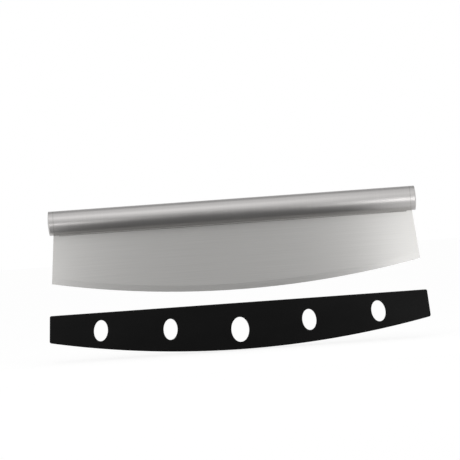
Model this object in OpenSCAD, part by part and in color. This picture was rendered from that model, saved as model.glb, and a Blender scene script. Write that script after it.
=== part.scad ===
// Rocking pizza knife: a wide steel blade with a curved edge, welded along its top
// to a steel tube handle with closed ends, and a black slotted guard for the edge.
// Origin on the axis of the handle, halfway along it. +X runs along the handle,
// +Z points up, away from the edge, and the front of the knife looks along -Y.
// The guard is drawn taken off, straight below the blade.

/* [Handle] */
// How far the handle stands out past the blade's upper corners, on each side
handle_over = 4.75; // [2:0.25:15]
// Outside diameter of the handle tube
tube_d = 23.5; // [18:0.5:32]
// Wall of the handle tube and of the end caps
tube_wall = 0.8; // [0.6:0.1:1.5]
// Length of an end cap
cap_len = 5.5; // [4:0.5:12]
// Rounding of the rim of an end cap
cap_rim_r = 2; // [1.6:0.1:3]
// Rise of the domed face of an end cap
cap_rise = 0.8; // [0.3:0.1:1.5]
// Width of the weld that joins a cap to the tube, ground flush
cap_weld_w = 0.8; // [0.5:0.1:1.5]

/* [Blade] */
// Width of the blade across its lower corners
blade_len = 355.6; // [300:1:400]
// How much further out each lower corner is than the upper one
blade_lean = 4.8; // [0:0.2:12]
// Thickness of the blade
blade_t = 1.5; // [1:0.1:2.5]
// Depth of the belly of the edge below the handle's axis
belly_depth = 75.9; // [60:0.5:110]
// Radius of the curved edge
edge_r = 906.5; // [600:10:1500]
// Width of the ground bevel along the edge
bevel_w = 6; // [2:0.5:12]
// Thickness left at the very edge
edge_t = 0.3; // [0.2:0.05:0.5]
// Depth that the blade's tongue goes into the tube
tongue_depth = 5; // [3:0.5:8]
// Distance from each end of the tongue to the end of the tube
tongue_end = 11.5; // [4:0.5:60]
// Play between the tongue and its slot, on each side
tongue_fit = 0.05; // [0.02:0.01:0.2]

/* [Welds] */
// Size of the weld beads between the handle and the blade
bead_r = 1; // [0.6:0.1:1.6]
// Distance from each end of a bead to the end of the tube
bead_end = 3.5; // [1:0.5:60]

/* [Guard] */
// Wall of the guard past each end of its slot, at the top
end_wall = 3.6; // [2:0.1:12]
// Height of the guard in the middle
guard_h = 44.8; // [36:0.5:60]
// Overall thickness of the guard
guard_t = 6.4; // [5:0.1:10]
// Outward lean of the guard's ends, in degrees
guard_flare = 4.4; // [0:0.1:8]
// Floor of the guard under the blade's edge
guard_floor = 2.7; // [2:0.1:5]
// Play between the blade's faces and the slot, on each side
slot_fit = 0.3; // [0.25:0.05:0.6]
// Play between the blade's edge and the slot's floor
edge_gap = 0.3; // [0.3:0.05:1]
// Play between the blade's corners and the slot's ends
end_gap = 0.6; // [0.5:0.1:1.5]
// Rounding of the guard's upper corners
guard_top_r = 1.5; // [1:0.1:4]
// Rounding of the guard's lower corners
guard_low_r = 2; // [1:0.1:6]
// Chamfer along the guard's outer lower edges
guard_chamfer = 1; // [0.4:0.1:1.6]
// Distance that the guard drops when it is taken off
guard_travel = 54.7; // [45:0.1:90]

/* [Guard windows] */
// Distance between neighbouring windows
window_pitch = 67; // [40:1:72]
// Width of the four small windows
window_w = 13.5; // [8:0.5:18]
// Height of the four small windows
window_h = 20.4; // [10:0.1:24]
// Width of the middle window
mid_window_w = 17.1; // [8:0.1:24]
// Height of the middle window
mid_window_h = 24.1; // [10:0.1:26]
// Centre of the middle window below the guard's top
mid_window_drop = 25.7; // [18:0.1:28]
// Centres of the next two windows below the guard's top
inner_window_drop = 20.9; // [16:0.1:25]
// Centres of the last two windows below the guard's top
outer_window_drop = 17.4; // [14:0.1:22]

/* [Hidden] */
steel = [0.74, 0.73, 0.72];
weld_steel = [0.6, 0.59, 0.58];
black_plastic = [0.05, 0.05, 0.055];
// facets of a small round, of the tube and of the long arcs
small_fn = 48;
tube_fn = 96;
arc_fn = 1440;
// how far a cut runs past the face it opens
over = 1;
// a corner's circle is this much larger than its radius, so it crosses the edges cleanly
corner_grow = 1.004;
tube_r = tube_d / 2;
tube_bore_r = tube_r - tube_wall;
blade_top_len = blade_len - 2 * blade_lean;
handle_len = blade_top_len + 2 * handle_over;
tube_len = handle_len - 2 * (cap_len + cap_weld_w);
tongue_len = tube_len - 2 * tongue_end;
bead_len = tube_len - 2 * bead_end;
// height of the centre of the edge's arc
arc_z = edge_r - belly_depth;
slot_w = blade_t + 2 * slot_fit;
slot_len = blade_len + 2 * end_gap;
slot_r = edge_r + edge_gap;
guard_len = slot_len + 2 * end_wall;
guard_r = slot_r + guard_floor;
// top of the guard when it is on the blade
guard_top_z = arc_z - guard_r + guard_h;
window_drops = [mid_window_drop, inner_window_drop, outer_window_drop];

// half width of the guard at a depth below its top
function guard_half(depth) = guard_len / 2 + depth * tan(guard_flare);

// depth below the guard's top of the centre of a round that touches the end and the arc
function low_round_depth(r) =
    let (t = tan(guard_flare),
         x0 = guard_len / 2 - r / cos(guard_flare),
         w0 = arc_z - guard_top_z,
         a = 1 + t * t,
         b = x0 * t + w0,
         c = x0 * x0 + w0 * w0 - pow(guard_r - r, 2))
    (sqrt(b * b - a * c) - b) / a;

// centre of a corner round on the right, at a depth below the guard's top
function round_centre(r, depth) =
    [guard_half(depth) - r / cos(guard_flare), guard_top_z - depth];

// Solid of revolution round a line along Y through the centre of the edge's arc
module arc_disc() {
    translate([0, 0, arc_z]) rotate([90, 0, 0]) rotate_extrude($fn = arc_fn) children();
}

// Flat shape in X and Z given a thickness along Y
module plate(thick) {
    rotate([90, 0, 0]) linear_extrude(thick, center = true) children();
}

// Shape of a cap's outside or inside, standing on its open end
module cap_form(r, len, rim) {
    dome_r = (pow(r - rim, 2) + cap_rise * cap_rise) / (2 * cap_rise);
    rotate_extrude($fn = tube_fn) intersection() {
        union() {
            square([r, len - rim]);
            square([r - rim, len]);
            translate([r - rim, len - rim]) circle(rim, $fn = small_fn);
        }
        translate([0, len - dome_r]) circle(dome_r, $fn = arc_fn / 4);
        square([r, len]);
    }
}

// Cup-shaped end cap with its open end at the weld
module end_cap() {
    translate([tube_len / 2 + cap_weld_w, 0, 0]) rotate([0, 90, 0]) difference() {
        cap_form(tube_r, cap_len, cap_rim_r);
        translate([0, 0, -over])
            cap_form(tube_bore_r, cap_len - tube_wall + over, cap_rim_r - tube_wall);
    }
}

// Ring of weld metal between the tube and a cap
module cap_weld() {
    translate([tube_len / 2, 0, 0]) rotate([0, 90, 0]) difference() {
        cylinder(h = cap_weld_w, r = tube_r, $fn = tube_fn);
        translate([0, 0, -over]) cylinder(h = cap_weld_w + 2 * over, r = tube_bore_r, $fn = tube_fn);
    }
}

// Bead of weld metal in the corner between the tube and the front of the blade
module weld_bead() {
    corner_z = -sqrt(tube_r * tube_r - blade_t * blade_t / 4);
    rotate([90, 0, 90]) linear_extrude(bead_len, center = true) difference() {
        translate([-blade_t / 2, corner_z]) circle(bead_r, $fn = small_fn);
        circle(tube_r, $fn = tube_fn * 4);
        translate([-blade_t / 2, corner_z - 2 * bead_r]) square(4 * bead_r);
    }
}

module handle_tube() {
    color(steel) difference() {
        rotate([0, 90, 0]) cylinder(h = tube_len, r = tube_r, center = true, $fn = tube_fn);
        rotate([0, 90, 0])
            cylinder(h = tube_len + 2 * over, r = tube_bore_r, center = true, $fn = tube_fn);
        translate([-tongue_len / 2 - tongue_fit, -blade_t / 2 - tongue_fit, -tube_r - over])
            cube([tongue_len + 2 * tongue_fit, blade_t + 2 * tongue_fit, tongue_depth + over]);
    }
}

module left_end_cap() {
    color(steel) mirror([1, 0, 0]) end_cap();
}

module right_end_cap() {
    color(steel) end_cap();
}

module left_cap_weld() {
    color(weld_steel) mirror([1, 0, 0]) cap_weld();
}

module right_cap_weld() {
    color(weld_steel) cap_weld();
}

module front_weld_seam() {
    color(weld_steel) weld_bead();
}

module rear_weld_seam() {
    color(weld_steel) mirror([0, 1, 0]) weld_bead();
}

module blade() {
    corner_z = arc_z - sqrt(edge_r * edge_r - blade_len * blade_len / 4);
    lean = (blade_len - blade_top_len) / 2 / (-tube_r - corner_z);
    low_z = -belly_depth - over;
    low_half = blade_top_len / 2 + lean * (-tube_r - low_z);
    color(steel) intersection() {
        plate(blade_t) polygon([
            [-blade_top_len / 2, -tube_r], [-tongue_len / 2, -tube_r],
            [-tongue_len / 2, -tube_r + tongue_depth], [tongue_len / 2, -tube_r + tongue_depth],
            [tongue_len / 2, -tube_r], [blade_top_len / 2, -tube_r],
            [low_half, low_z], [-low_half, low_z]]);
        arc_disc() polygon([
            [0, -blade_t / 2], [edge_r - bevel_w, -blade_t / 2], [edge_r, -edge_t / 2],
            [edge_r, edge_t / 2], [edge_r - bevel_w, blade_t / 2], [0, blade_t / 2]]);
    }
}

// What a round of radius r leaves of a corner, between the directions along and across
module corner_waste(centre, r, along, across) {
    translate(centre) difference() {
        polygon([[0, 0], 2 * r * along, 3 * r * (along + across), 2 * r * across]);
        circle(r * corner_grow, $fn = small_fn * 2);
    }
}

// Outline of the guard on the blade, in X and Z
module guard_outline() {
    end_way = [cos(guard_flare), sin(guard_flare)];
    top_c = round_centre(guard_top_r, guard_top_r);
    low_c = round_centre(guard_low_r, low_round_depth(guard_low_r));
    arc_way = (low_c - [0, arc_z]) / norm(low_c - [0, arc_z]);
    low_half = guard_half(guard_h + over);
    difference() {
        polygon([
            [-guard_len / 2, guard_top_z], [guard_len / 2, guard_top_z],
            [low_half, guard_top_z - guard_h - over], [-low_half, guard_top_z - guard_h - over]]);
        for (side = [0, 1]) mirror([side, 0]) {
            corner_waste(top_c, guard_top_r, end_way, [0, 1]);
            corner_waste(low_c, guard_low_r, arc_way, end_way);
        }
    }
}

// Oval window through both walls, its long axis pointing to the centre of the arc
module window(x, drop, w, h) {
    z = guard_top_z - drop;
    translate([x, 0, z]) rotate([0, -atan2(x, arc_z - z), 0]) rotate([90, 0, 0])
        scale([w / h, 1, 1])
            cylinder(h = guard_t + 2 * over, d = h, center = true, $fn = small_fn * 2);
}

// Room for the blade, open at the top
module guard_slot() {
    intersection() {
        arc_disc() translate([0, -slot_w / 2]) square([slot_r, slot_w]);
        translate([-slot_len / 2, -slot_w, -belly_depth - edge_gap - over])
            cube([slot_len, 2 * slot_w, guard_h + 2 * over]);
    }
}

module blade_guard() {
    half_t = guard_t / 2;
    color(black_plastic) translate([0, 0, -guard_travel]) difference() {
        intersection() {
            plate(guard_t) guard_outline();
            arc_disc() polygon([
                [0, -half_t], [guard_r - guard_chamfer, -half_t], [guard_r, guard_chamfer - half_t],
                [guard_r, half_t - guard_chamfer], [guard_r - guard_chamfer, half_t], [0, half_t]]);
        }
        guard_slot();
        window(0, window_drops[0], mid_window_w, mid_window_h);
        for (side = [-1, 1], k = [1, 2])
            window(side * k * window_pitch, window_drops[k], window_w, window_h);
    }
}

handle_tube();
left_end_cap();
right_end_cap();
left_cap_weld();
right_cap_weld();
blade();
front_weld_seam();
rear_weld_seam();
blade_guard();
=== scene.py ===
import math

import bmesh
import bpy
from mathutils import Matrix, Vector


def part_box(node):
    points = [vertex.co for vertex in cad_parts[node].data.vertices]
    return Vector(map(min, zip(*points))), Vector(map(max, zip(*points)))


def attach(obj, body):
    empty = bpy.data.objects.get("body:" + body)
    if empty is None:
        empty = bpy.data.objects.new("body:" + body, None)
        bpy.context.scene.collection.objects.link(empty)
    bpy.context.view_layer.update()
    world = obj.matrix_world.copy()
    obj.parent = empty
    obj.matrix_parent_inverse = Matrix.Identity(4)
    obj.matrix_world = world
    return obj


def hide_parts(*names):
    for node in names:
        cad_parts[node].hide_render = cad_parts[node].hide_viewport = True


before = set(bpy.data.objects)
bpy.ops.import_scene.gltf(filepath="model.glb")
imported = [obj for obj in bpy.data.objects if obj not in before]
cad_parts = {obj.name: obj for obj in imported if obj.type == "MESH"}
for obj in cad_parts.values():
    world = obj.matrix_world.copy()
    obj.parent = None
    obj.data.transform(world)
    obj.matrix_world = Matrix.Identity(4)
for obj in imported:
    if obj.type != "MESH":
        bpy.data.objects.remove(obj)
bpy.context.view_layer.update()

bl_info = {
    "name": "Rocking pizza knife",
    "version": (1, 0, 0),
    "blender": (4, 5, 0),
    "location": "3D View > Sidebar > Pizza Knife",
    "description": "Dresses a rocking pizza knife and its edge guard in steel and black plastic",
    "category": "Object",
}

MM = 0.001

# The frame gives where the pieces lie, in metres, with X along the handle and Z up.
TUBE_LOW, TUBE_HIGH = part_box("handle_tube")
GUARD_LOW, GUARD_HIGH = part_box("blade_guard")
BLADE_LOW, BLADE_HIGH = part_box("blade")
TUBE_RADIUS = (TUBE_HIGH[1] - TUBE_LOW[1]) / 2
GUARD_THICK = GUARD_HIGH[1] - GUARD_LOW[1]
GUARD_TOP = GUARD_HIGH[2]
GUARD_BELLY = GUARD_LOW[2]
BLADE_THICK = BLADE_HIGH[1] - BLADE_LOW[1]
BLADE_LENGTH = BLADE_HIGH[0] - BLADE_LOW[0]

# The photograph shows 443 mm across its 460 pixels, taken from far away. The middle of the handle
# lies at ORIGIN_PX, counted from the upper left corner.
PHOTO_PX = 460
MM_PER_PX = 0.9634
ORIGIN_PX = (231.8, 210.8)
HANDLE_TILT = math.radians(4.1)
CAMERA_DISTANCE = 3.0
CAMERA_REACH = 50.0
SENSOR_MM = 36.0

# How finely curves are drawn. More steps make rounder pieces and heavier meshes.
CORNER_STEPS = 8
BELLY_STEPS = 120
WINDOW_STEPS = 72
EDGE_STEPS = 6
SLOT_STEPS = 120
RIPPLE_SEGMENTS = 12
RIPPLE_RINGS = 6
RIPPLE_SEED = 7
CRISP_ANGLE = math.radians(32)
FLAT_FACING = 0.9999
OVERCUT = 10 * MM

# Where the camera's view needs plain light. Places and sizes are in metres, lamps in watts.
WORLD_LIGHT = 0.6
FLOOR_GLOW = 0.75
FLOOR_REACH = 12.0
FLOOR_GAP = 0.5 * MM
CARD_GAP = 1 * MM
LOW_CARD_X = (-0.19, 0.145)
LOW_CARD_Y = (-2.5, 0.012)
HIGH_CARD_X = (-1.5, 1.5)
HIGH_CARD_Y = (0.3, 1.8)
HIGH_CARD_Z = 1.2
FRONT_CARD_X = (-1.6, 1.2)
FRONT_CARD_Y = -2.5
FRONT_CARD_TOP = 0.5
# name, place, point it faces, width and height, power
LAMPS = (
    ("key_lamp", (-0.4, -1.1, 1.3), (0, 0, -0.05), (1.2, 0.8), 1.5),
    ("right_lamp", (0.225, -0.4, -0.05), (0.17, 0, -0.01), (0.08, 0.2), 0.24),
    ("left_lamp", (-0.23, -0.4, -0.1), (-0.17, 0, -0.01), (0.08, 0.2), 0.13),
)


def linear(hex_colour):
    """Linear red, green, blue and alpha of an sRGB colour such as #c0c0c0."""
    channels = [int(hex_colour[i:i + 2], 16) / 255 for i in (1, 3, 5)]
    return (*[c / 12.92 if c <= 0.04045 else ((c + 0.055) / 1.055) ** 2.4 for c in channels], 1.0)


def add_node(tree, kind, inputs=None, **settings):
    """Adds a node with its settings. Inputs given as output sockets are linked, others are set."""
    node = tree.nodes.new(kind)
    for name, value in settings.items():
        setattr(node, name, value)
    for key, value in (inputs or {}).items():
        if isinstance(value, bpy.types.NodeSocket):
            tree.links.new(value, node.inputs[key])
        else:
            node.inputs[key].default_value = value
    return node


def maths(tree, operation, first, second=0.0):
    """The result of one sum on two numbers or sockets."""
    node = add_node(tree, "ShaderNodeMath", {0: first, 1: second}, operation=operation)
    return node.outputs["Value"]


def vector(tree, x, y, z):
    """A vector of three numbers or sockets."""
    return add_node(tree, "ShaderNodeCombineXYZ", {"X": x, "Y": y, "Z": z}).outputs["Vector"]


# Materials

def new_material(name):
    """An empty node material and its tree."""
    material = bpy.data.materials.new(name)
    material.use_nodes = True
    material.node_tree.nodes.clear()
    return material, material.node_tree


def grain(tree, lines_per_m, detail=3.0):
    """Noise in object space, with so many lines to the metre along X, Y and Z."""
    place = add_node(tree, "ShaderNodeTexCoord").outputs["Object"]
    stretched = add_node(tree, "ShaderNodeMapping", {"Vector": place, "Scale": lines_per_m})
    noise = add_node(tree, "ShaderNodeTexNoise", {
        "Vector": stretched.outputs["Vector"], "Scale": 1.0, "Detail": detail, "Roughness": 0.6})
    return noise.outputs["Fac"]


def spread(tree, noise, low, high):
    """Maps noise, which keeps near the middle of 0 to 1, onto low to high."""
    node = add_node(tree, "ShaderNodeMapRange", {
        "Value": noise, "From Min": 0.3, "From Max": 0.7, "To Min": low, "To Max": high})
    return node.outputs["Result"]


def tinted(tree, noise, dark, light):
    """A colour that wanders between dark and light."""
    node = add_node(tree, "ShaderNodeMix", {
        "Factor": spread(tree, noise, 0.0, 1.0), "A": dark, "B": light}, data_type="RGBA")
    return node.outputs["Result"]


def end_material(tree, surface):
    """Ends a material's tree in its surface."""
    add_node(tree, "ShaderNodeOutputMaterial", {"Surface": surface})


def brushed_steel(name, dark, light, roughness, lines_per_m, depth, sweep=0.0):
    """Stainless steel with a brushed grain: satin streaks and a soft highlight. With some sweep, the
    highlight is drawn out across brush lines that run along X."""
    material, tree = new_material(name)
    lines = grain(tree, lines_per_m)
    # handling leaves cloudy patches some 10 cm across, seen as slightly duller steel
    clouds = grain(tree, (9.0, 9.0, 14.0), 2.0)
    rough = maths(tree, "ADD", spread(tree, lines, roughness - 0.03, roughness + 0.03),
                  spread(tree, clouds, -0.02, 0.02))
    bump = add_node(tree, "ShaderNodeBump", {"Height": lines, "Strength": 0.2, "Distance": depth})
    normal = add_node(tree, "ShaderNodeNewGeometry").outputs["Normal"]
    across = add_node(tree, "ShaderNodeVectorMath", {0: normal, 1: (1.0, 0.0, 0.0)},
                      operation="CROSS_PRODUCT")
    surface = add_node(tree, "ShaderNodeBsdfPrincipled", {
        "Base Color": tinted(tree, lines, dark, light), "Metallic": 1.0, "Roughness": rough,
        "Anisotropic": sweep, "Tangent": across.outputs["Vector"], "Normal": bump.outputs["Normal"]})
    end_material(tree, surface.outputs["BSDF"])
    return material


def steel_for_tube():
    """Tube and caps, ground on a belt: satin steel with fine rings round the tube.
    The real scratches are some 0.05 mm apart and are drawn 0.5 mm apart so that they show."""
    return brushed_steel("belt_ground_stainless", linear("#b7b5b4"), linear("#bdbbba"), 0.34,
                         (1 / (0.5 * MM), 18.0, 18.0), 0.002 * MM)


def steel_for_blade():
    """Blade sheet, brushed lengthwise: straight streaks from corner to corner.
    The real scratches are some 0.08 mm apart and are drawn 0.6 mm apart so that they show."""
    return brushed_steel("brushed_stainless_sheet", linear("#cfcecc"), linear("#d8d7d5"), 0.5,
                         (12.0, 12.0, 1 / (0.6 * MM)), 0.005 * MM, sweep=0.8)


def steel_for_welds():
    """Weld metal, wire-brushed: greyer and rougher than the sheet beside it."""
    return brushed_steel("wire_brushed_weld", linear("#a3a19f"), linear("#b5b3b1"), 0.38,
                         (1 / (1.5 * MM), 600.0, 600.0), 0.02 * MM)


def moulded_plastic(name, colour):
    """Black polypropylene from a spark-textured mould: nearly black, with a soft broad sheen.
    The texture's real grain is some 0.1 mm and is drawn at 0.7 mm so that it shows."""
    material, tree = new_material(name)
    texture = grain(tree, (1 / (0.7 * MM),) * 3)
    # the melt flows along the mould, which leaves faint long bands
    flow = grain(tree, (12.0, 12.0, 30.0), 2.0)
    bump = add_node(tree, "ShaderNodeBump", {
        "Height": texture, "Strength": 0.25, "Distance": 0.03 * MM})
    # the pits of the texture shade most of the sheen, so its level is low
    surface = add_node(tree, "ShaderNodeBsdfPrincipled", {
        "Base Color": tinted(tree, flow, linear("#0e0e0e"), colour),
        "Roughness": spread(tree, texture, 0.44, 0.56), "IOR": 1.49, "Specular IOR Level": 0.1,
        "Normal": bump.outputs["Normal"]})
    end_material(tree, surface.outputs["BSDF"])
    return material


def dress(node_name, material):
    """Gives a CAD node its material."""
    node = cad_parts[node_name]
    node.data.materials.clear()
    node.data.materials.append(material)


# Geometry Nodes

def new_tree(name, sizes):
    """A tree that takes a mesh and named sizes and gives a mesh.
    Returns the tree, what it is given, and each size's socket identifier."""
    tree = bpy.data.node_groups.new(name, "GeometryNodeTree")
    sockets = tree.interface
    sockets.new_socket("Geometry", in_out="INPUT", socket_type="NodeSocketGeometry")
    sockets.new_socket("Geometry", in_out="OUTPUT", socket_type="NodeSocketGeometry")
    ids = {}
    for size in sizes:
        socket = sockets.new_socket(size, in_out="INPUT", socket_type="NodeSocketFloat")
        ids[size] = socket.identifier
    return tree, add_node(tree, "NodeGroupInput").outputs, ids


def finish_tree(tree, geometry, material):
    """Ends a tree in real, smooth faces of one material. The flat front and back and the sharp
    corners stay crisp."""
    real = add_node(tree, "GeometryNodeRealizeInstances", {"Geometry": geometry})
    corner = add_node(tree, "GeometryNodeInputMeshEdgeAngle").outputs["Unsigned Angle"]
    crisp = add_node(tree, "GeometryNodeSetShadeSmooth", {
        "Geometry": real.outputs["Geometry"], "Shade Smooth": False,
        "Selection": maths(tree, "GREATER_THAN", corner, CRISP_ANGLE)}, domain="EDGE")
    normal = add_node(tree, "GeometryNodeInputNormal").outputs["Normal"]
    facing = add_node(tree, "ShaderNodeSeparateXYZ", {"Vector": normal}).outputs["Y"]
    is_flat = maths(tree, "GREATER_THAN", maths(tree, "ABSOLUTE", facing), FLAT_FACING)
    plane = add_node(tree, "GeometryNodeSetShadeSmooth", {
        "Geometry": crisp.outputs["Geometry"], "Shade Smooth": False, "Selection": is_flat},
        domain="FACE")
    dressed = add_node(tree, "GeometryNodeSetMaterial", {
        "Geometry": plane.outputs["Geometry"], "Material": material})
    add_node(tree, "NodeGroupOutput", {"Geometry": dressed.outputs["Geometry"]})


def grow(name, mesh, tree, ids, sizes):
    """Runs a tree on a mesh and returns the plain object that it makes."""
    seed = bpy.data.objects.new(name + "_seed", mesh)
    bpy.context.collection.objects.link(seed)
    modifier = seed.modifiers.new(tree.name, "NODES")
    modifier.node_group = tree
    for size, value in sizes.items():
        modifier[ids[size]] = value
    evaluated = seed.evaluated_get(bpy.context.evaluated_depsgraph_get())
    grown = bpy.data.meshes.new_from_object(evaluated)
    bpy.data.objects.remove(seed)
    if not grown.polygons:
        raise RuntimeError(name + " came out empty")
    grown.name = name
    piece = bpy.data.objects.new(name, grown)
    bpy.context.collection.objects.link(piece)
    return piece


def seat(piece, body, slot, *nodes):
    """The piece takes the place of its CAD nodes, which are hidden, and rides on a body. The slot is not
    used.
    """
    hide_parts(*nodes)
    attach(piece, body)


# Guard

def on_circle(middle, radius, angle):
    """The point at an angle on a circle of X and Z."""
    return middle + radius * Vector((math.cos(angle), math.sin(angle)))


def low_corner_depth(props, lean, centre):
    """How far below the guard's top the lower corner's rounding has its middle. The rounding
    touches the leaning end and the belly arc, so the depth solves a quadratic."""
    slope = math.tan(lean)
    x0 = props.top_length / 2 - props.low_corner / math.cos(lean)
    z0 = centre[1] - GUARD_TOP
    a = 1 + slope * slope
    b = x0 * slope + z0
    c = x0 * x0 + z0 * z0 - (props.arc_radius - props.low_corner) ** 2
    return (math.sqrt(b * b - a * c) - b) / a


def guard_outline(props, inset):
    """Closed ring of X and Z round the guard's side, drawn in from its edge by inset."""
    lean = props.end_lean
    centre = Vector((0, GUARD_BELLY + props.arc_radius))

    def corner_middle(radius, depth):
        end = props.top_length / 2 + depth * math.tan(lean)
        return Vector((end - radius / math.cos(lean), GUARD_TOP - depth))

    def corner(middle, radius, start, end):
        turns = [start + (end - start) * i / CORNER_STEPS for i in range(CORNER_STEPS + 1)]
        return [on_circle(middle, radius - inset, turn) for turn in turns]

    top_middle = corner_middle(props.top_corner, props.top_corner)
    low_middle = corner_middle(props.low_corner, low_corner_depth(props, lean, centre))
    arc_start = math.atan2(low_middle[1] - centre[1], low_middle[0])
    right = corner(top_middle, props.top_corner, math.pi / 2, lean)
    right += corner(low_middle, props.low_corner, lean, arc_start)
    left = [Vector((-point[0], point[1])) for point in reversed(right)]
    sweep = -math.pi - 2 * arc_start
    turns = [arc_start + sweep * i / BELLY_STEPS for i in range(1, BELLY_STEPS)]
    belly = [on_circle(centre, props.arc_radius - inset, turn) for turn in turns]
    return right + belly + left


def window_ring(props, column, outset):
    """Ring of X and Z round an oval window, its long axis pointing to the centre of the arc."""
    place = abs(column)
    middle = Vector((column * props.window_pitch, GUARD_TOP - props.window_drops[place]))
    width, height = props.middle_window if place == 0 else props.side_window
    turn = math.atan2(middle[0], GUARD_BELLY + props.arc_radius - middle[1])
    across = Vector((math.cos(turn), math.sin(turn)))
    upward = Vector((-math.sin(turn), math.cos(turn)))
    ring = []
    for i in range(WINDOW_STEPS):
        angle = -2 * math.pi * i / WINDOW_STEPS
        u = (width / 2 + outset) * math.cos(angle)
        v = (height / 2 + outset) * math.sin(angle)
        ring.append(middle + u * across + v * upward)
    return ring


def edge_profile(half_thick, radius):
    """Pairs of Y and inset that go round both edges of a wall, from its front to its back."""
    turns = [math.pi / 2 * i / EDGE_STEPS for i in range(EDGE_STEPS + 1)]
    front = [(-half_thick + radius * (1 - math.cos(turn)), radius * (1 - math.sin(turn)))
             for turn in turns]
    return front + [(-y, inset) for y, inset in reversed(front)]


def loft(mesh, rings):
    """Joins rings of points with faces, and returns the edges of the first and the last ring."""
    rows = [[mesh.verts.new(point) for point in ring] for ring in rings]
    for row, after in zip(rows, rows[1:]):
        for i in range(len(row)):
            j = (i + 1) % len(row)
            mesh.faces.new((row[i], row[j], after[j], after[i]))
    ends = []
    for row in (rows[0], rows[-1]):
        ends.append([mesh.edges.get((row[i - 1], row[i])) for i in range(len(row))])
    return ends


def guard_blank(props):
    """The guard with rounded edges and windows, before its slot is cut."""
    mesh = bmesh.new()
    profile = edge_profile(GUARD_THICK / 2, props.edge_round)
    outlines = [[(guard_outline(props, inset), y) for y, inset in profile]]
    for column in (-2, -1, 0, 1, 2):
        outlines.append([(window_ring(props, column, inset), y) for y, inset in profile])
    rims = []
    for outline in outlines:
        rims.append(loft(mesh, [[(point[0], y, point[1]) for point in ring] for ring, y in outline]))
    for side in (0, 1):
        edges = [edge for rim in rims for edge in rim[side]]
        bmesh.ops.triangle_fill(mesh, use_beauty=True, edges=edges)
    bmesh.ops.recalc_face_normals(mesh, faces=mesh.faces)
    for face in mesh.faces:
        face.smooth = True
    data = bpy.data.meshes.new("guard_blank")
    mesh.to_mesh(data)
    mesh.free()
    return data


def slot_tree(material):
    """Tree that cuts the slot for the blade into the guard, open at the top, with a curved floor."""
    sizes = ("Slot width", "Slot length", "Slot radius", "Arc centre", "Cut top")
    tree, given, ids = new_tree("guard_slot", sizes)
    block = add_node(tree, "GeometryNodeMeshCube", {
        "Size": vector(tree, given["Slot length"], given["Slot width"], 1.0),
        "Vertices X": SLOT_STEPS + 1, "Vertices Y": 2, "Vertices Z": 2})
    position = add_node(tree, "GeometryNodeInputPosition").outputs["Position"]
    place = add_node(tree, "ShaderNodeSeparateXYZ", {"Vector": position}).outputs
    # the floor follows a circle round the arc's centre, so it lies sqrt(r^2 - x^2) below that
    radius_squared = maths(tree, "MULTIPLY", given["Slot radius"], given["Slot radius"])
    x_squared = maths(tree, "MULTIPLY", place["X"], place["X"])
    fall = maths(tree, "SQRT", maths(tree, "SUBTRACT", radius_squared, x_squared))
    height = add_node(tree, "ShaderNodeMix", {
        "Factor": maths(tree, "GREATER_THAN", place["Z"], 0.0),
        "A": maths(tree, "SUBTRACT", given["Arc centre"], fall), "B": given["Cut top"]},
        data_type="FLOAT")
    cutter = add_node(tree, "GeometryNodeSetPosition", {
        "Geometry": block.outputs["Mesh"],
        "Position": vector(tree, place["X"], place["Y"], height.outputs["Result"])})
    cut = add_node(tree, "GeometryNodeMeshBoolean", {
        "Mesh 1": given["Geometry"], "Mesh 2": cutter.outputs["Geometry"]}, operation="DIFFERENCE")
    finish_tree(tree, cut.outputs["Mesh"], material)
    return tree, ids


# Welds

def bead_tree(material):
    """Tree that lays a weld bead as a row of ripples, each a drop of metal that set on the last."""
    sizes = ("Bead radius", "Bead length", "Ripple pitch", "Joint side", "Joint height")
    tree, given, ids = new_tree("weld_bead", sizes)
    spaces = maths(tree, "FLOOR", maths(tree, "DIVIDE", given["Bead length"], given["Ripple pitch"]))
    # the first and last ripple lie one radius inside the bead's ends
    left = maths(tree, "ADD", maths(tree, "DIVIDE", given["Bead length"], -2.0), given["Bead radius"])
    right = maths(tree, "MULTIPLY", left, -1.0)
    row = add_node(tree, "GeometryNodeMeshLine", {
        "Count": maths(tree, "ADD", spaces, 1.0),
        "Start Location": vector(tree, left, given["Joint side"], given["Joint height"]),
        "Offset": vector(tree, right, given["Joint side"], given["Joint height"])},
        mode="END_POINTS")
    drop = add_node(tree, "GeometryNodeMeshUVSphere", {
        "Segments": RIPPLE_SEGMENTS, "Rings": RIPPLE_RINGS, "Radius": given["Bead radius"]})
    scale = add_node(tree, "FunctionNodeRandomValue", {
        "Min": 0.95, "Max": 1.0, "Seed": RIPPLE_SEED}, data_type="FLOAT")
    drops = add_node(tree, "GeometryNodeInstanceOnPoints", {
        "Points": row.outputs["Mesh"], "Instance": drop.outputs["Mesh"],
        "Scale": scale.outputs["Value"]})
    smooth = add_node(tree, "GeometryNodeSetShadeSmooth", {"Geometry": drops.outputs["Instances"]})
    finish_tree(tree, smooth.outputs["Geometry"], material)
    return tree, ids


# Stage

def panel_mesh(name, corners, material):
    """A flat four-sided panel."""
    data = bpy.data.meshes.new(name)
    data.from_pydata(corners, [], [(0, 1, 2, 3)])
    data.materials.append(material)
    panel = bpy.data.objects.new(name, data)
    bpy.context.collection.objects.link(panel)
    return panel


def level_corners(span_x, span_y, z):
    """Corners of a level panel, seen anticlockwise from above."""
    return [(span_x[0], span_y[0], z), (span_x[1], span_y[0], z),
            (span_x[1], span_y[1], z), (span_x[0], span_y[1], z)]


def upright_corners(span_x, y, span_z):
    """Corners of an upright panel that faces the front."""
    return [(span_x[0], y, span_z[0]), (span_x[1], y, span_z[0]),
            (span_x[1], y, span_z[1]), (span_x[0], y, span_z[1])]


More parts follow.
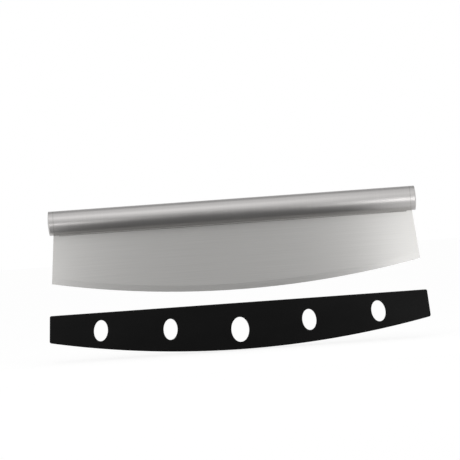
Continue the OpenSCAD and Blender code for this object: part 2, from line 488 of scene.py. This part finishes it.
def background_share(tree):
    """1 for what the camera sees directly, mirrored or through something, else 0."""
    path = add_node(tree, "ShaderNodeLightPath").outputs
    seen = maths(tree, "MAXIMUM", path["Is Camera Ray"], path["Is Glossy Ray"])
    return maths(tree, "MAXIMUM", seen, path["Is Transmission Ray"])


def floor_material():
    """Matt white studio floor: white to the edge of the view, with a soft shadow under the guard."""
    material, tree = new_material("matt_white_floor")
    paint = add_node(tree, "ShaderNodeBsdfDiffuse", {"Color": linear("#a8a8a8")})
    glow = add_node(tree, "ShaderNodeEmission", {
        "Color": linear("#ffffff"),
        "Strength": maths(tree, "MULTIPLY", background_share(tree), FLOOR_GLOW)})
    both = add_node(tree, "ShaderNodeAddShader", {
        0: paint.outputs["BSDF"], 1: glow.outputs["Emission"]})
    end_material(tree, both.outputs["Shader"])
    return material


def mirrored_card(name, corners, finish, level):
    """A matt card at a plain grey level, which only the metal mirrors."""
    material, tree = new_material(finish)
    glow = add_node(tree, "ShaderNodeEmission", {"Color": (level, level, level, 1.0), "Strength": 1.0})
    end_material(tree, glow.outputs["Emission"])
    card = panel_mesh(name, corners, material)
    card.visible_camera = False
    card.visible_diffuse = False
    card.visible_shadow = False
    card.visible_transmission = False


def soft_lamp(name, place, target, size, watts):
    """A soft box at a place that faces a target, unseen by the camera."""
    data = bpy.data.lights.new(name, "AREA")
    data.shape = "RECTANGLE"
    data.size = size[0]
    data.size_y = size[1]
    data.energy = watts
    lamp = bpy.data.objects.new(name, data)
    bpy.context.collection.objects.link(lamp)
    lamp.visible_camera = False
    turn = (Vector(target) - Vector(place)).to_track_quat("-Z", "Y")
    lamp.matrix_world = Matrix.Translation(place) @ turn.to_matrix().to_4x4()


def set_world(scene):
    """White to the camera and in the metal, plainer light on everything else."""
    world = bpy.data.worlds.new("white_studio")
    scene.world = world
    world.use_nodes = True
    tree = world.node_tree
    tree.nodes.clear()
    strength = add_node(tree, "ShaderNodeMix", {
        "Factor": background_share(tree), "A": WORLD_LIGHT, "B": 1.0}, data_type="FLOAT")
    sky = add_node(tree, "ShaderNodeBackground", {
        "Color": linear("#ffffff"), "Strength": strength.outputs["Result"]})
    add_node(tree, "ShaderNodeOutputWorld", {"Surface": sky.outputs["Background"]})


def set_camera(scene):
    """Level camera in front, turned so that the handle rises to the right."""
    data = bpy.data.cameras.new("camera")
    width = PHOTO_PX * MM_PER_PX * MM
    data.sensor_width = SENSOR_MM
    data.lens = SENSOR_MM * CAMERA_DISTANCE / width
    data.clip_end = CAMERA_REACH
    camera = bpy.data.objects.new("camera", data)
    scene.collection.objects.link(camera)
    right = Vector((math.cos(HANDLE_TILT), 0, -math.sin(HANDLE_TILT)))
    up = Vector((math.sin(HANDLE_TILT), 0, math.cos(HANDLE_TILT)))
    back = Vector((0, -1, 0))
    middle = PHOTO_PX / 2
    aimed = ((middle - ORIGIN_PX[0]) * right - (middle - ORIGIN_PX[1]) * up) * MM_PER_PX * MM
    turn = Matrix((right, up, back)).transposed().to_4x4()
    camera.matrix_world = Matrix.Translation(aimed + CAMERA_DISTANCE * back) @ turn
    scene.camera = camera


# Settings that a user may change

class PizzaKnifeGuardSettings(bpy.types.PropertyGroup):
    """Sizes and colour of the edge guard."""
    top_length: bpy.props.FloatProperty(
        name="Top length", description="Length of the guard along its straight top",
        default=BLADE_LENGTH + 8.4 * MM, unit="LENGTH")
    end_lean: bpy.props.FloatProperty(
        name="End lean", description="Outward lean of the guard's ends",
        default=math.radians(4.4), subtype="ANGLE")
    arc_radius: bpy.props.FloatProperty(
        name="Arc radius", description="Radius of the guard's curved lower side",
        default=909.5 * MM, unit="LENGTH")
    top_corner: bpy.props.FloatProperty(
        name="Upper corners", description="Rounding of the upper corners",
        default=1.5 * MM, unit="LENGTH")
    low_corner: bpy.props.FloatProperty(
        name="Lower corners", description="Rounding of the lower corners",
        default=2.0 * MM, unit="LENGTH")
    edge_round: bpy.props.FloatProperty(
        name="Edge rounding", description="Rounding of the guard's outer edges and window edges",
        default=0.7 * MM, unit="LENGTH")
    floor_thick: bpy.props.FloatProperty(
        name="Floor", description="Plastic under the blade's edge",
        default=2.7 * MM, unit="LENGTH")
    slot_play: bpy.props.FloatProperty(
        name="Slot play", description="Play between the blade and each wall of the slot",
        default=0.3 * MM, unit="LENGTH")
    end_play: bpy.props.FloatProperty(
        name="End play", description="Play between the blade's corners and the slot's ends",
        default=0.6 * MM, unit="LENGTH")
    window_pitch: bpy.props.FloatProperty(
        name="Window spacing", description="Distance between neighbouring windows",
        default=67 * MM, unit="LENGTH")
    window_drops: bpy.props.FloatVectorProperty(
        name="Window drops", description="Window centres below the guard's top, from the middle out",
        default=(25.7 * MM, 20.9 * MM, 17.4 * MM), unit="LENGTH")
    side_window: bpy.props.FloatVectorProperty(
        name="Side window", description="Width and height of the four side windows", size=2,
        default=(13.5 * MM, 20.4 * MM), unit="LENGTH")
    middle_window: bpy.props.FloatVectorProperty(
        name="Middle window", description="Width and height of the middle window", size=2,
        default=(17.1 * MM, 24.1 * MM), unit="LENGTH")
    colour: bpy.props.FloatVectorProperty(
        name="Plastic", description="Colour of the moulded plastic", size=4, subtype="COLOR",
        default=linear("#141414"), min=0, max=1)


class PizzaKnifeWeldSettings(bpy.types.PropertyGroup):
    """Sizes of the weld beads under the handle."""
    ripple_pitch: bpy.props.FloatProperty(
        name="Ripple spacing", description="Distance between the ripples of a weld bead",
        default=0.9 * MM, unit="LENGTH")


# Operators

class PIZZA_KNIFE_OT_steel(bpy.types.Operator):
    """Dresses the handle, its caps and the blade in brushed stainless steel"""
    bl_idname = "pizza_knife.steel"
    bl_label = "Handle and blade"

    def execute(self, context):
        tube_steel = steel_for_tube()
        for name in ("handle_tube", "left_end_cap", "right_end_cap"):
            dress(name, tube_steel)
        dress("blade", steel_for_blade())
        return {"FINISHED"}


class PIZZA_KNIFE_OT_welds(bpy.types.Operator):
    """Lays the weld beads between the handle and the blade, and dresses the cap welds"""
    bl_idname = "pizza_knife.welds"
    bl_label = "Welds"

    def execute(self, context):
        weld = steel_for_welds()
        for name in ("left_cap_weld", "right_cap_weld"):
            dress(name, weld)
        # a bead runs along the corner where the blade's face meets the tube
        joint_z = -math.sqrt(TUBE_RADIUS ** 2 - (BLADE_THICK / 2) ** 2)
        for name, side in (("front_weld_seam", -1), ("rear_weld_seam", 1)):
            tree, ids = bead_tree(weld)
            low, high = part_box(name)
            piece = grow(name.replace("seam", "bead"), bpy.data.meshes.new(name), tree, ids, {
                "Bead radius": joint_z - low[2],
                "Bead length": high[0] - low[0],
                "Ripple pitch": context.scene.pizza_knife_weld.ripple_pitch,
                "Joint side": side * BLADE_THICK / 2,
                "Joint height": joint_z})
            seat(piece, "knife", "weld_metal", name)
        return {"FINISHED"}


class PIZZA_KNIFE_OT_guard(bpy.types.Operator):
    """Makes the moulded edge guard with its windows and slot"""
    bl_idname = "pizza_knife.guard"
    bl_label = "Edge guard"

    def execute(self, context):
        props = context.scene.pizza_knife_guard
        plastic = moulded_plastic("moulded_black_polypropylene", tuple(props.colour))
        tree, ids = slot_tree(plastic)
        piece = grow("edge_guard", guard_blank(props), tree, ids, {
            "Slot width": BLADE_THICK + 2 * props.slot_play,
            "Slot length": BLADE_LENGTH + 2 * props.end_play,
            "Slot radius": props.arc_radius - props.floor_thick,
            "Arc centre": GUARD_BELLY + props.arc_radius,
            "Cut top": GUARD_TOP + OVERCUT})
        seat(piece, "guard", "guard_plastic", "blade_guard")
        return {"FINISHED"}


class PIZZA_KNIFE_OT_stage(bpy.types.Operator):
    """Sets the white floor, the soft light, the cards that the metal mirrors, and the camera"""
    bl_idname = "pizza_knife.stage"
    bl_label = "Stage"

    def execute(self, context):
        scene = context.scene
        floor_z = GUARD_BELLY - FLOOR_GAP
        card_z = floor_z + CARD_GAP
        reach = (-FLOOR_REACH, FLOOR_REACH)
        panel_mesh("studio_floor", level_corners(reach, reach, floor_z), floor_material())
        # a dark card in front and below gives the tube its dark lower half, a grey one above and
        # behind its softer top line, and a dim one at the horizon the fall between light and dark
        mirrored_card("low_card", level_corners(LOW_CARD_X, LOW_CARD_Y, card_z), "dark_card", 0.17)
        mirrored_card("high_card", level_corners(HIGH_CARD_X, HIGH_CARD_Y, HIGH_CARD_Z), "grey_card", 0.5)
        mirrored_card("front_card", upright_corners(FRONT_CARD_X, FRONT_CARD_Y, (card_z, FRONT_CARD_TOP)),
                      "dim_card", 0.42)
        for lamp in LAMPS:
            soft_lamp(*lamp)
        set_world(scene)
        set_camera(scene)
        scene.view_settings.view_transform = "Standard"
        return {"FINISHED"}


class PIZZA_KNIFE_PT_panel(bpy.types.Panel):
    """Buttons and settings for the pizza knife"""
    bl_idname = "PIZZA_KNIFE_PT_panel"
    bl_label = "Pizza knife"
    bl_space_type = "VIEW_3D"
    bl_region_type = "UI"
    bl_category = "Pizza Knife"

    def draw(self, context):
        layout = self.layout
        for operator in OPERATORS:
            layout.operator(operator.bl_idname)
        for settings in (context.scene.pizza_knife_guard, context.scene.pizza_knife_weld):
            for name in settings.bl_rna.properties.keys():
                if name not in ("rna_type", "name"):
                    layout.prop(settings, name)


OPERATORS = (PIZZA_KNIFE_OT_steel, PIZZA_KNIFE_OT_welds, PIZZA_KNIFE_OT_guard, PIZZA_KNIFE_OT_stage)
CLASSES = (PizzaKnifeGuardSettings, PizzaKnifeWeldSettings, *OPERATORS, PIZZA_KNIFE_PT_panel)


def register():
    """Makes the settings, operators and panel known to Blender."""
    for cls in CLASSES:
        bpy.utils.register_class(cls)
    bpy.types.Scene.pizza_knife_guard = bpy.props.PointerProperty(type=PizzaKnifeGuardSettings)
    bpy.types.Scene.pizza_knife_weld = bpy.props.PointerProperty(type=PizzaKnifeWeldSettings)


def unregister():
    """Takes them out again."""
    del bpy.types.Scene.pizza_knife_guard
    del bpy.types.Scene.pizza_knife_weld
    for cls in reversed(CLASSES):
        bpy.utils.unregister_class(cls)


def main():
    """Builds everything in order."""
    register()
    bpy.ops.pizza_knife.steel()
    bpy.ops.pizza_knife.welds()
    bpy.ops.pizza_knife.guard()
    bpy.ops.pizza_knife.stage()


if __name__ == "__main__":
    main()
